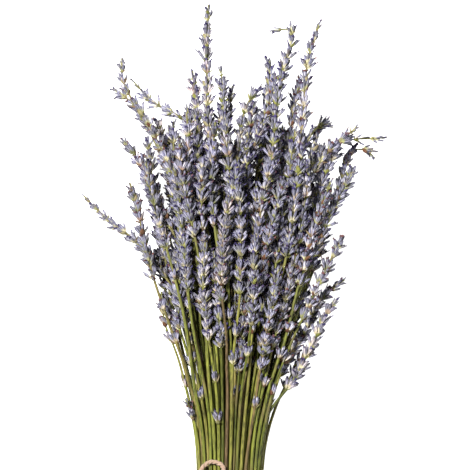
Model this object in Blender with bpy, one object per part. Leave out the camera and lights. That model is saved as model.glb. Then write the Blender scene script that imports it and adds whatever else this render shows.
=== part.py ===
"""A bunch of dried lavender that lies on a table, its stems tied with a bow of jute twine.

Metres, +Z up. The stems run along Y with the flowers towards +Y, the knot is on top, and the
origin is on the table under the middle of the bunch. A sprig is one solid, as it grew: a thin
stem that swells into the whorls of its flower spike.
"""

import math
import random
from dataclasses import dataclass

import bmesh
import bpy
import numpy as np

MM = 0.001

# The bunch. It holds SPRIG_COUNT sprigs in all, and SOLID_COUNT of them are solids here.
SPRIG_COUNT = 130
SOLID_COUNT = 54
CUT_END_Y = -0.200
CUT_END_SPREAD = 0.011
TOP_Y = 0.200
SEED = 48

# The oval of stems inside the tie, and how it opens out towards both ends
TIE_Y = -0.067
TIE_HALF_WIDTH = 0.0185
TIE_HALF_HEIGHT = 0.0130
FLARE_Y = -0.038
FLARE_SIDE = 0.33
FLARE_UP = 0.165
FLARE_EASE = 0.012
SPLAY_Y = -0.095
SPLAY_SIDE = 0.05
SPLAY_UP = 0.03
SPLAY_EASE = 0.015
TWIST_PER_METRE = 1.9
AXIS_X = -0.0035
AXIS_LEAN = 0.035
AXIS_Z = 0.0145
AXIS_RISE = 0.0717

# A sprig
STEM_RADIUS = 0.00095
STEM_TOP_RADIUS = 0.0007
SPIKE_RADIUS = 0.0050
SPIKE_TIP_SHARE = 0.26
SPIKE_TAPER = 0.020
TIP_END_SHARE = 0.6
SPIKE_FOOT = 0.002
SPIKE_LENGTHS = (0.044, 0.070)
WHORL_PITCH = 0.0125
WAIST_SHARE = 0.62
LONE_WHORL_RADIUS = 0.0034
LONE_WHORL_HALF = 0.0035
LONE_WHORL_GAPS = (0.013, 0.024)
LONE_WHORL_CHANCE = 0.8
LOWEST_WHORL_Y = -0.034
OUTER_DEPTH = 0.80
THIN_FULLNESS = 0.75
FILLING_FULLNESS = (0.86, 1.0)
STEM_SECTION_GAP = 0.019
TIP_DOME_Y = 0.163
TIP_DOME_DROP = 0.036
TIP_SCATTER = 0.088
LEADING_SPIKE_BELOW = 0.018

# How a sprig wavers, more and more with the distance from the tie
WAVER = 0.0028
WAVER_RATES = (48.0, 42.0)
LOOSE_ABOVE = 0.18
LOOSE_BELOW = 0.30
FREE_LOW_Y = -0.050
FREE_RUN = 0.008
FREE_TOP_RUN = 0.050
FREE_TOP_RISE = 0.002

# How the sprigs settle against each other
PACK_STEPS = 400
PACK_PUSH = 0.4
SETTLE_PUSH = 0.42
SETTLE_PULL = 0.02
SETTLE_LATE = 0.7
EVEN_EARLY = 0.5
EVEN_LATE = 0.12
LEVEL_STEP = 0.005
SETTLE_STEPS = 170
SOFT_SHARE = 0.68
SOLID_GAP = 0.0005
SOFT_GAP = 0.0001
HELD_HALF = 0.016

# The twine
TWINE_RADIUS = 0.0013
TWINE_GAP = 0.0003
WRAP_TURNS = 3
WRAP_PITCH = 2 * TWINE_RADIUS + TWINE_GAP
WRAP_POINTS_PER_TURN = 22
WRAP_HALF = 0.006
WRAP_REACH = 0.0085
KNOT_SIZE = (0.0094, 0.0080, 0.0062)
KNOT_LEFT = 0.0015
ROUTE_SPACING = 5.2 * TWINE_RADIUS
KNOT_JOIN_SHARE = 0.16

# Sprigs that stand out of the bunch, each placed by hand in millimetres: how near the top it lies
# (-1 underneath to 1 on top), how full its flowers are, the course of its spike from the lowest
# whorl to the highest point as (x, y), and the points past that where its tip bends over.
LEADING_SPRIGS = [
    (0.35, 1.00, [(-12, 119), (-15, 152), (-16, 180), (-15, 199.6)], []),
    (0.10, 0.95, [(-20, 119), (-22, 141), (-24, 164)], []),
    (0.30, 0.95, [(37, 119), (38, 152), (40, 171), (46, 190)], []),
    (0.45, 0.95, [(20, 119), (23, 147), (26, 164), (30, 177), (30, 185)], [(26, 186), (20, 184)]),
    (-0.10, 0.80, [(14, 125), (18, 152), (19, 163), (17, 173)], []),
    (-0.20, 0.55, [(-47, 130), (-57, 147), (-63, 159), (-64, 172)], []),
    (0.25, 0.80, [(-39, 116), (-47, 132), (-57, 146), (-68, 154)], []),
    (-0.45, 0.60, [(-20, 127), (-32, 140), (-45, 147), (-58, 160)], []),
    (0.30, 0.90, [(-42, 92), (-50, 108), (-57, 119), (-63, 126)], []),
    (0.05, 0.80, [(-39, 50), (-56, 70), (-72, 82), (-85, 95)], []),
    (0.30, 0.85, [(42, 111), (51, 121), (59, 127), (66, 133)], []),
    (-0.10, 0.50, [(38, 105), (45, 115), (53, 122), (63, 126)], [(70, 127), (77, 127), (85, 128)]),
    (-0.15, 0.70, [(52, 83), (59, 103), (63, 116), (67, 121)], [(72, 121), (78, 116)]),
    (0.35, 0.95, [(47, 70), (56, 92), (62, 103), (66, 111)], []),
    (0.50, 0.85, [(43, 42), (49, 53), (54, 63), (59, 72)], []),
    (0.10, 0.95, [(32, 9), (40, 21), (49, 38), (61, 48)], []),
    (-0.10, 0.50, [(26, -14), (31, -4), (37, 5), (45, 11)], []),
    (-0.20, 0.55, [(-35, 12), (-39, 21), (-41, 31), (-42, 41)], []),
    (0.20, 0.65, [(-23, -32), (-25, -26), (-28, -19)], []),
    (0.35, 0.80, [(2, 122), (4, 138), (8, 148), (14, 155)], []),
    (-0.30, 0.70, [(-6, 125), (-6, 137), (-2, 145)], []),
    (-0.40, 0.60, [(35, 114), (40, 125), (44, 132)], [(49, 135), (55, 134)]),
    (0.20, 0.90, [(-35, 104), (-35, 120), (-35, 136)], []),
    (-0.30, 0.60, [(-25, 110), (-27, 122), (-29, 134)], []),
    (0.20, 0.85, [(-50, 64), (-53, 78), (-56, 92), (-59, 102)], []),
    (0.20, 0.95, [(6, 112), (13, 130), (19, 148), (22, 162)], []),
    (0.10, 0.95, [(27, 112), (30, 130), (33, 148), (36, 160)], []),
    (0.25, 0.95, [(-8, 118), (-9, 136), (-8, 152), (-9, 166)], []),
    (0.35, 0.95, [(34, 2), (41, 15), (48, 28), (56, 38)], []),
]

COLOURS = {
    "sprig": (0.36, 0.35, 0.46),
    "twine": (0.66, 0.47, 0.33),
}


@dataclass
class Sprig:
    """One sprig's own measures, and its course through the bunch."""

    slot: tuple
    cut_y: float
    tip_y: float
    spike: float
    fullness: float
    course: list
    beyond: list
    lone_whorls: list
    sway: tuple
    depth: float = 0.0
    solid: bool = False


# ---- the shape of the bunch ----


def ramp(value, ease):
    """0 below zero and value above it, with a smooth bend between."""
    return ease * np.log1p(np.exp(value / ease))


def half_width(y):
    flare = FLARE_SIDE * ramp(y - FLARE_Y, FLARE_EASE)
    return TIE_HALF_WIDTH + flare + SPLAY_SIDE * ramp(SPLAY_Y - y, SPLAY_EASE)


def half_height(y):
    flare = FLARE_UP * ramp(y - FLARE_Y, FLARE_EASE)
    return TIE_HALF_HEIGHT + flare + SPLAY_UP * ramp(SPLAY_Y - y, SPLAY_EASE)


def axis_x(y):
    return AXIS_X + AXIS_LEAN * (y - TIE_Y)


def axis_z(y):
    return AXIS_Z + AXIS_RISE * (y - CUT_END_Y)


def place_in_bunch(slot, y):
    """Where the stem of that slot is at height y. Slots are points of a unit disc."""
    turn = TWIST_PER_METRE * np.minimum(y - TIE_Y, 0.0)
    u = slot[0] * np.cos(turn) - slot[1] * np.sin(turn)
    v = slot[0] * np.sin(turn) + slot[1] * np.cos(turn)
    return axis_x(y) + u * half_width(y), axis_z(y) + v * half_height(y)


def packed_slots():
    """The stems' places in the tie: a sunflower spiral, with the stems then pushed apart."""
    wide = TIE_HALF_WIDTH - STEM_RADIUS
    high = TIE_HALF_HEIGHT - STEM_RADIUS
    index = np.arange(SPRIG_COUNT)
    spread = np.sqrt((index + 0.5) / SPRIG_COUNT)
    turn = index * math.pi * (3 - math.sqrt(5))
    x = wide * spread * np.cos(turn)
    z = high * spread * np.sin(turn)
    apart = 2 * STEM_RADIUS + SOLID_GAP
    for _ in range(PACK_STEPS):
        gap_x = x[:, None] - x[None, :]
        gap_z = z[:, None] - z[None, :]
        distance = np.hypot(gap_x, gap_z) + np.eye(SPRIG_COUNT)
        push = PACK_PUSH * np.clip(apart - distance, 0, None) / distance
        x = x + (push * gap_x).sum(axis=1)
        z = z + (push * gap_z).sum(axis=1)
        outside = np.maximum(np.hypot(x / wide, z / high), 1.0)
        x = x / outside
        z = z / outside
    return [(a / TIE_HALF_WIDTH, b / TIE_HALF_HEIGHT) for a, b in zip(x, z)]


def take_slot(slots, first_point, depth):
    """The free slot from which a stem reaches that point most directly."""
    x, y = first_point
    u = (x - axis_x(y)) / half_width(y)
    best = min(slots, key=lambda s: (s[0] - u) ** 2 + (s[1] - depth) ** 2)
    slots.remove(best)
    return best


def lone_whorls(rng, chance, spike, tip_y):
    """How far below the tip a sprig has whorls of their own, under its spike: none to two."""
    found = []
    below_tip = spike
    for number in range(2):
        below_tip += rng.uniform(*LONE_WHORL_GAPS)
        wanted = rng.random() < chance / (number + 1)
        if wanted and tip_y - below_tip > LOWEST_WHORL_Y:
            found.append(below_tip)
    return found


def make_sprigs():
    """Every sprig of the bunch: the leading ones first, then the ones that fill it."""
    rng = random.Random(SEED)
    slots = packed_slots()
    sprigs = []
    for depth, fullness, course, beyond in LEADING_SPRIGS:
        course = [(x * MM, y * MM) for x, y in course]
        beyond = [(x * MM, y * MM) for x, y in beyond]
        line = course + beyond
        spike = sum(math.dist(a, b) for a, b in zip(line, line[1:]))
        if fullness > THIN_FULLNESS:
            spike += LEADING_SPIKE_BELOW
        slot = take_slot(slots, course[0], depth)
        lone = lone_whorls(rng, 1.0, spike, course[-1][1])
        sway = (rng.uniform(0, 2 * math.pi), rng.uniform(0, 2 * math.pi))
        cut_y = CUT_END_Y + rng.uniform(0, CUT_END_SPREAD) * (len(sprigs) > 0)
        sprigs.append(
            Sprig(slot, cut_y, course[-1][1], spike, fullness, course, beyond, lone, sway, depth, True)
        )
    for slot in slots:
        out = math.hypot(*slot)
        tip_y = TIP_DOME_Y - TIP_DOME_DROP * out**2 - TIP_SCATTER * rng.random()
        spike = rng.uniform(*SPIKE_LENGTHS)
        lone = lone_whorls(rng, LONE_WHORL_CHANCE, spike, tip_y)
        sway = (rng.uniform(0, 2 * math.pi), rng.uniform(0, 2 * math.pi))
        cut_y = CUT_END_Y + rng.uniform(0, CUT_END_SPREAD)
        fullness = rng.uniform(*FILLING_FULLNESS)
        sprigs.append(Sprig(slot, cut_y, tip_y, spike, fullness, [], [], lone, sway))
    for sprig in sprigs[len(LEADING_SPRIGS) :]:
        sprig.solid = abs(sprig.slot[1]) > OUTER_DEPTH
    within = [s for s in sprigs if not s.solid]
    wanted = SOLID_COUNT - (len(sprigs) - len(within))
    for k in range(wanted):
        within[round((k + 0.5) * len(within) / wanted - 0.5)].solid = True
    return sprigs


# ---- the course of each sprig ----


def smooth_through(knots_y, knots_x, y):
    """A cubic curve through the knots, carried on straight past both ends."""
    knots_y = np.array(knots_y)
    knots_x = np.array(knots_x)
    slopes = np.gradient(knots_x, knots_y)
    inside = np.clip(y, knots_y[0], knots_y[-1])
    k = np.clip(np.searchsorted(knots_y, inside) - 1, 0, len(knots_y) - 2)
    width = knots_y[k + 1] - knots_y[k]
    t = (inside - knots_y[k]) / width
    curve = (
        knots_x[k] * (1 + 2 * t) * (1 - t) ** 2
        + knots_x[k + 1] * t * t * (3 - 2 * t)
        + slopes[k] * width * t * (1 - t) ** 2
        + slopes[k + 1] * width * t * t * (t - 1)
    )
    past = np.where(y > knots_y[-1], slopes[-1], slopes[0])
    return curve + past * (y - inside)


def planned_course(sprig, y):
    """x and z of a sprig at the heights y, before the sprigs settle."""
    x, z = place_in_bunch(sprig.slot, y)
    loose = np.clip((y - TIE_Y) / LOOSE_ABOVE, 0, 1) + np.clip((TIE_Y - y) / LOOSE_BELOW, 0, 1)
    x = x + WAVER * loose * np.sin(WAVER_RATES[0] * y + sprig.sway[0])
    z = z + WAVER * loose * np.sin(WAVER_RATES[1] * y + sprig.sway[1])
    if sprig.course:
        free_y = FLARE_Y if sprig.course[0][1] > 0 else FREE_LOW_Y
        start_x, start_z = place_in_bunch(sprig.slot, np.array([free_y - FREE_RUN, free_y]))
        first_y = sprig.course[0][1]
        _, first_z = place_in_bunch((0, sprig.depth), first_y)
        knots_y = [free_y - FREE_RUN, free_y] + [point[1] for point in sprig.course]
        knots_x = list(start_x) + [point[0] for point in sprig.course]
        x = np.where(y > free_y, smooth_through(knots_y, knots_x, y), x)
        lift = smooth_through(
            [free_y - FREE_RUN, free_y, first_y, first_y + FREE_TOP_RUN],
            [start_z[0], start_z[1], first_z, first_z + FREE_TOP_RISE],
            y,
        )
        z = np.where(y > free_y, lift, z)
    return x, z


def spike_radius(below_tip, sprig):
    """The flower spike's radius at a distance below its tip."""
    share = np.clip(SPIKE_TIP_SHARE + (1 - SPIKE_TIP_SHARE) * below_tip / SPIKE_TAPER, 0, 1)
    return np.maximum(SPIKE_RADIUS * sprig.fullness * share, STEM_TOP_RADIUS)


def settling_radius(sprig, levels, x, z):
    """The room that a sprig on that course takes up at each level."""
    steps = np.sqrt(np.diff(levels) ** 2 + np.diff(x) ** 2 + np.diff(z) ** 2)
    along = np.concatenate([[0], np.cumsum(steps)])
    past_top = sum(math.dist(a, b) for a, b in zip(sprig.course[-1:] + sprig.beyond, sprig.beyond))
    below_tip = np.interp(sprig.tip_y, levels, along) - along + past_top
    radius = np.full(len(levels), STEM_RADIUS)
    radius = np.where(below_tip < sprig.spike, spike_radius(below_tip, sprig), radius)
    for lone in sprig.lone_whorls:
        beside = np.abs(below_tip - lone) < LONE_WHORL_HALF + 0.5 * LEVEL_STEP
        radius = np.where(beside, LONE_WHORL_RADIUS, radius)
    return radius


def settle(sprigs):
    """Moves the sprigs apart, and up off the table, until they lie clear of each other."""
    levels = np.arange(CUT_END_Y, TOP_Y + LEVEL_STEP / 2, LEVEL_STEP)
    plans = [planned_course(s, levels) for s in sprigs]
    x = np.array([p[0] for p in plans]).T
    z = np.array([p[1] for p in plans]).T
    room = [settling_radius(s, levels, *plan) for s, plan in zip(sprigs, plans)]
    radius = np.array(room).T
    soft = np.maximum(SOFT_SHARE * radius, np.minimum(radius, STEM_RADIUS))
    cut_y = np.array([s.cut_y for s in sprigs])
    tip_y = np.array([s.tip_y for s in sprigs])
    there = (levels[:, None] > cut_y - LEVEL_STEP) & (levels[:, None] < tip_y + LEVEL_STEP)
    together = there[:, :, None] & there[:, None, :] & ~np.eye(len(sprigs), dtype=bool)
    solid = np.array([s.solid for s in sprigs])
    solids = solid[:, None] & solid[None, :]
    held = np.abs(levels - TIE_Y) < HELD_HALF
    start_x = x.copy()
    start_z = z.copy()
    for step in range(SETTLE_STEPS):
        late = step > SETTLE_LATE * SETTLE_STEPS
        lean = np.sqrt(
            1
            + np.gradient(x, LEVEL_STEP, axis=0) ** 2
            + np.gradient(z, LEVEL_STEP, axis=0) ** 2
        )
        full_now = radius * lean
        soft_now = soft * lean
        reach = np.where(
            solids,
            full_now[:, :, None] + full_now[:, None, :] + SOLID_GAP,
            soft_now[:, :, None] + soft_now[:, None, :] + SOFT_GAP,
        )
        gap_x = x[:, :, None] - x[:, None, :]
        gap_z = z[:, :, None] - z[:, None, :]
        distance = np.sqrt(gap_x**2 + gap_z**2) + 1e-9
        push = SETTLE_PUSH * np.where(together, np.clip(reach - distance, 0, None), 0) / distance
        x = x + np.clip((push * gap_x).sum(axis=2), -MM, MM)
        z = z + np.clip((push * gap_z).sum(axis=2), -MM, MM)
        pull = 0.0 if late else SETTLE_PULL
        off_x = (x - start_x) * (1 - pull)
        off_z = (z - start_z) * (1 - pull)
        even = EVEN_LATE if late else EVEN_EARLY
        for off in (off_x, off_z):
            off[1:-1] += even * (0.5 * (off[:-2] + off[2:]) - off[1:-1])
            off[held] = 0
        x = start_x + off_x
        z = np.maximum(start_z + off_z, full_now)
    return levels, x, z


def centrelines(sprigs):
    """Each sprig's centreline after settling, from its cut end to its tip."""
    levels, x, z = settle(sprigs)
    lines = []
    for k, sprig in enumerate(sprigs):
        between = levels[(levels > sprig.cut_y + 0.001) & (levels < sprig.tip_y - 0.001)]
        y = np.concatenate([[sprig.cut_y], between, [sprig.tip_y]])
        line = np.stack([np.interp(y, levels, x[:, k]), y, np.interp(y, levels, z[:, k])], axis=1)
        shift = line[-1, 0] - sprig.course[-1][0] if sprig.beyond else 0.0
        for past_x, past_y in sprig.beyond:
            line = np.vstack([line, [past_x + shift, past_y, line[-1, 2]]])
        lines.append(line)
    return lines


def at_distance(line, below_tip):
    """The points of a centreline at those distances below its tip."""
    steps = np.linalg.norm(np.diff(line, axis=0), axis=1)
    along = np.concatenate([[0], np.cumsum(steps)])
    wanted = along[-1] - np.clip(below_tip, 0, along[-1])
    return np.stack([np.interp(wanted, along, line[:, k]) for k in range(3)], axis=1)


# ---- solids ----


def clear_scene():
    for item in list(bpy.data.objects):
        bpy.data.objects.remove(item)


def make_material(name, roughness):
    material = bpy.data.materials.new(name)
    material.use_nodes = True
    shader = material.node_tree.nodes["Principled BSDF"]
    shader.inputs["Base Color"].default_value = (*COLOURS[name], 1.0)
    shader.inputs["Roughness"].default_value = roughness
    shader.inputs["Metallic"].default_value = 0.0
    return material


def make_tube(name, points, radii, rounding, material):
    """A closed tube along the points, as thick at each as its radius says."""
    curve = bpy.data.curves.new(name, "CURVE")
    curve.dimensions = "3D"
    curve.bevel_depth = 1.0
    curve.bevel_resolution = rounding
    curve.use_fill_caps = True
    spline = curve.splines.new("POLY")
    spline.points.add(len(points) - 1)
    for target, point, radius in zip(spline.points, points, radii):
        target.co = (*point, 1.0)
        target.radius = radius
    spline.use_smooth = True
    curve.materials.append(material)
    tube = bpy.data.objects.new(name, curve)
    bpy.context.scene.collection.objects.link(tube)
    return tube


def sprig_sections(sprig, line):
    """The distances below the tip at which a sprig's solid has a section, and its radius there."""
    length = np.linalg.norm(np.diff(line, axis=0), axis=1).sum()
    sections = [(0.0, float(spike_radius(0.0, sprig)) * TIP_END_SHARE)]
    whorls = max(2, round(sprig.spike / WHORL_PITCH))
    pitch = sprig.spike / whorls
    for k in range(whorls):
        middle = (k + 0.5) * pitch
        waist = (k + 1) * pitch
        sections.append((middle, float(spike_radius(middle, sprig))))
        sections.append((waist, WAIST_SHARE * float(spike_radius(waist, sprig))))
    sections.append((sprig.spike + SPIKE_FOOT, STEM_TOP_RADIUS))
    for lone in sprig.lone_whorls:
        sections.append((lone - LONE_WHORL_HALF, STEM_TOP_RADIUS))
        sections.append((lone, LONE_WHORL_RADIUS))
        sections.append((lone + LONE_WHORL_HALF, STEM_TOP_RADIUS))
    start = sections[-1][0]
    tie_distance = length - (TIE_Y - sprig.cut_y)
    above_tie = tie_distance - HELD_HALF
    bare = max(1, round((above_tie - start) / STEM_SECTION_GAP))
    for k in range(1, bare + 1):
        share = k / bare
        radius = STEM_TOP_RADIUS + share * (STEM_RADIUS - STEM_TOP_RADIUS)
        sections.append((start + share * (above_tie - start), radius))
    sections.append((tie_distance - WRAP_HALF, STEM_RADIUS))
    sections.append((tie_distance + WRAP_HALF, STEM_RADIUS))
    below_tie = tie_distance + HELD_HALF
    for share in (0.0, 0.5, 1.0):
        sections.append((below_tie + share * (length - below_tie), STEM_RADIUS))
    return sorted(sections, reverse=True)


def add_sprigs():
    material = make_material("sprig", 0.85)
    sprigs = make_sprigs()
    lines = centrelines(sprigs)
    chosen = [(s, line) for s, line in zip(sprigs, lines) if s.solid]
    for number, (sprig, line) in enumerate(chosen, start=1):
        sections = sprig_sections(sprig, line)
        points = at_distance(line, np.array([s[0] for s in sections]))
        make_tube(f"sprig_{number:02d}", points, [s[1] for s in sections], 1, material)


# ---- the twine ----


def height_on_stems(x, y, lift):
    """How high something lies that much off the stems, or off the wrap's turns where they are."""
    over_wrap = 1 / (1 + ((y - TIE_Y) / WRAP_REACH) ** 8)
    off = lift + (2 * TWINE_RADIUS + TWINE_GAP) * over_wrap
    share = np.clip((x - axis_x(y)) / (half_width(y) + off), -0.98, 0.98)
    return axis_z(y) + (half_height(y) + off) * np.sqrt(1 - share**2)


def wrap_points():
    """Turns round the stems, side by side, from the top of the bunch round to the top again."""
    out = TWINE_GAP + TWINE_RADIUS
    steps = WRAP_TURNS * WRAP_POINTS_PER_TURN
    points = []
    for k in range(steps + 1):
        turn = 2 * math.pi * k / WRAP_POINTS_PER_TURN + math.pi / 2
        y = TIE_Y + WRAP_PITCH * (k / WRAP_POINTS_PER_TURN - WRAP_TURNS / 2)
        x = axis_x(y) + (half_width(y) + out) * math.cos(turn)
        points.append((x, y, axis_z(y) + (half_height(y) + out) * math.sin(turn)))
    return points


def read_curve(route, spacing):
    """Points about that far apart on a smooth curve through the route's own points."""
    route = np.array(route, dtype=float)
    steps = np.linalg.norm(np.diff(route, axis=0), axis=1)
    along = np.concatenate([[0], np.cumsum(steps)])
    count = max(4, round(along[-1] / spacing) + 1)
    wanted = np.linspace(0, along[-1], count)
    return np.stack([smooth_through(along, route[:, k], wanted) for k in range(route.shape[1])], axis=1)


def lay_on_stems(route, ends_up):
    """Turns a route in x and y into points that lie on the stems, raised where it joins the knot."""
    flat = read_curve(np.array(route) * MM, ROUTE_SPACING)
    height = height_on_stems(flat[:, 0], flat[:, 1], TWINE_RADIUS + 2 * TWINE_GAP)
    along = np.linspace(0, 1, len(flat))
    near_start = np.exp(-((along / KNOT_JOIN_SHARE) ** 2))
    near_end = np.exp(-(((1 - along) / KNOT_JOIN_SHARE) ** 2)) * ends_up
    joined = axis_z(TIE_Y) + TIE_HALF_HEIGHT + 2 * TWINE_RADIUS + KNOT_SIZE[2] / 2
    height = height + (near_start + near_end) * np.clip(joined - height, 0, None)
    return np.column_stack([flat, height])


# Routes of the bow in millimetres, seen from above. A loop leaves the knot and comes back to it.
BOW_ROUTES = {
    "twine_loop_left": ([(-6.2, -61.8), (-5.7, -58.6), (-8.2, -55.0), (-12.7, -53.5), (-17.2, -55.1),
                         (-19.6, -59.4), (-18.8, -64.2), (-15.4, -67.0), (-11.4, -67.6)], True),
    "twine_loop_right": ([(1.3, -65.8), (5.0, -64.4), (9.6, -65.0), (13.0, -68.4), (12.6, -73.2),
                          (9.0, -76.0), (4.8, -75.0), (1.6, -71.0)], True),
    "twine_tail_left": ([(-7.6, -72.6), (-9.8, -77.0), (-13.0, -83.0), (-14.4, -92.0),
                         (-13.0, -102.0), (-13.6, -112.0), (-16.2, -120.0)], False),
    "twine_tail_right": ([(-3.0, -72.8), (-2.6, -78.0), (-0.2, -84.0), (0.8, -93.0),
                          (-0.8, -103.0), (1.0, -112.0), (3.8, -118.0)], False),
}


def add_twine():
    material = make_material("twine", 0.9)
    wrap = wrap_points()
    make_tube("twine_wrap", wrap, [TWINE_RADIUS] * len(wrap), 1, material)
    for name, (route, ends_up) in BOW_ROUTES.items():
        points = lay_on_stems(route, ends_up)
        make_tube(name, points, [TWINE_RADIUS] * len(points), 2, material)
    shape = bpy.data.meshes.new("twine_knot")
    ball = bmesh.new()
    bmesh.ops.create_icosphere(ball, subdivisions=2, radius=0.5)
    bmesh.ops.scale(ball, vec=KNOT_SIZE, verts=ball.verts)
    ball.to_mesh(shape)
    ball.free()
    shape.shade_smooth()
    shape.materials.append(material)
    knot = bpy.data.objects.new("twine_knot", shape)
    wrap_top = axis_z(TIE_Y) + TIE_HALF_HEIGHT + 2 * TWINE_RADIUS + TWINE_GAP
    knot.location = (axis_x(TIE_Y) - KNOT_LEFT, TIE_Y, wrap_top + KNOT_SIZE[2] / 2 + TWINE_GAP)
    bpy.context.scene.collection.objects.link(knot)


def main():
    clear_scene()
    add_sprigs()
    add_twine()


main()
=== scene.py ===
"""The looks of a bunch of dried lavender that lies on a table, tied with a bow of jute twine.

Metres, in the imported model's frame: the stems run along Y with the flowers towards +Y, and the
table is at z = 0. The camera looks straight down on the bunch. The layout of the sprigs and the
twine's routes are those of the solid model, which holds 54 of the 130 sprigs.
"""

import math
import random
from dataclasses import dataclass

import bpy
import numpy as np
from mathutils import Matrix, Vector


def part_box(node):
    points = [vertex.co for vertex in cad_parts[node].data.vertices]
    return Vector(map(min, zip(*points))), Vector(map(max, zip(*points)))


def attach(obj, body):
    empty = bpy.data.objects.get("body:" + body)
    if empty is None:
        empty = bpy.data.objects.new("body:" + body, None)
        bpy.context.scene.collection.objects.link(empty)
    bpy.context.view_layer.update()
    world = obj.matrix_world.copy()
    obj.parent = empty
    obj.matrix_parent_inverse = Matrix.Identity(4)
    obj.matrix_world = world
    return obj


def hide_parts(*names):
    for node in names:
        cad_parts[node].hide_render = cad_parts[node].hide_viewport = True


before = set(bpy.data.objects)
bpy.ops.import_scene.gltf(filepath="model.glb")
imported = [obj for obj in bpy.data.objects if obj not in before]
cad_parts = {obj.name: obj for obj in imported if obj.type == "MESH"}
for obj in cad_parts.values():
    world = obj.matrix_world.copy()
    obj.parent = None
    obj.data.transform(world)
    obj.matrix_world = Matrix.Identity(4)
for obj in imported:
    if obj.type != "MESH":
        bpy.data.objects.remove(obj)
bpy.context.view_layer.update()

MM = 0.001

# The bunch. It holds SPRIG_COUNT sprigs in all, and SOLID_COUNT of them have a solid in the
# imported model. Everything up to the leading sprigs is as in the solid model.
SPRIG_COUNT = 130
SOLID_COUNT = 54
CUT_END_Y = -0.2
CUT_END_SPREAD = 0.011
TOP_Y = 0.2
SEED = 48

# The oval of stems inside the tie, and how it opens out towards both ends
TIE_Y = -0.067
TIE_HALF_WIDTH = 0.0185
TIE_HALF_HEIGHT = 0.013
FLARE_Y = -0.038
FLARE_SIDE = 0.33
FLARE_UP = 0.165
FLARE_EASE = 0.012
SPLAY_Y = -0.095
SPLAY_SIDE = 0.05
SPLAY_UP = 0.03
SPLAY_EASE = 0.015
TWIST_PER_METRE = 1.9
AXIS_X = -0.0035
AXIS_LEAN = 0.035
AXIS_Z = 0.0145
AXIS_RISE = 0.0717

# A sprig
STEM_RADIUS = 0.00095
STEM_TOP_RADIUS = 0.0007
SPIKE_RADIUS = 0.005
SPIKE_TIP_SHARE = 0.26
SPIKE_TAPER = 0.02
SPIKE_LENGTHS = (0.044, 0.07)
LONE_WHORL_RADIUS = 0.0034
LONE_WHORL_HALF = 0.0035
LONE_WHORL_GAPS = (0.013, 0.024)
LONE_WHORL_CHANCE = 0.8
LOWEST_WHORL_Y = -0.034
OUTER_DEPTH = 0.8
THIN_FULLNESS = 0.75
FILLING_FULLNESS = (0.86, 1.0)
TIP_DOME_Y = 0.163
TIP_DOME_DROP = 0.036
TIP_SCATTER = 0.088
LEADING_SPIKE_BELOW = 0.018

# How a sprig wavers, more and more with the distance from the tie
WAVER = 0.0028
WAVER_RATES = (48.0, 42.0)
LOOSE_ABOVE = 0.18
LOOSE_BELOW = 0.3
FREE_LOW_Y = -0.05
FREE_RUN = 0.008
FREE_TOP_RUN = 0.05
FREE_TOP_RISE = 0.002

# How the sprigs settle against each other
PACK_STEPS = 400
PACK_PUSH = 0.4
SETTLE_PUSH = 0.42
SETTLE_PULL = 0.02
SETTLE_LATE = 0.7
EVEN_EARLY = 0.5
EVEN_LATE = 0.12
LEVEL_STEP = 0.005
SETTLE_STEPS = 170
SOFT_SHARE = 0.68
SOLID_GAP = 0.0005
SOFT_GAP = 0.0001
HELD_HALF = 0.016

# The twine
TWINE_RADIUS = 0.0013
TWINE_GAP = 0.0003
WRAP_TURNS = 3
WRAP_PITCH = 2 * TWINE_RADIUS + TWINE_GAP
WRAP_POINTS_PER_TURN = 22
WRAP_REACH = 0.0085
KNOT_SIZE = (0.0094, 0.008, 0.0062)
ROUTE_SPACING = 5.2 * TWINE_RADIUS
KNOT_JOIN_SHARE = 0.16

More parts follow.
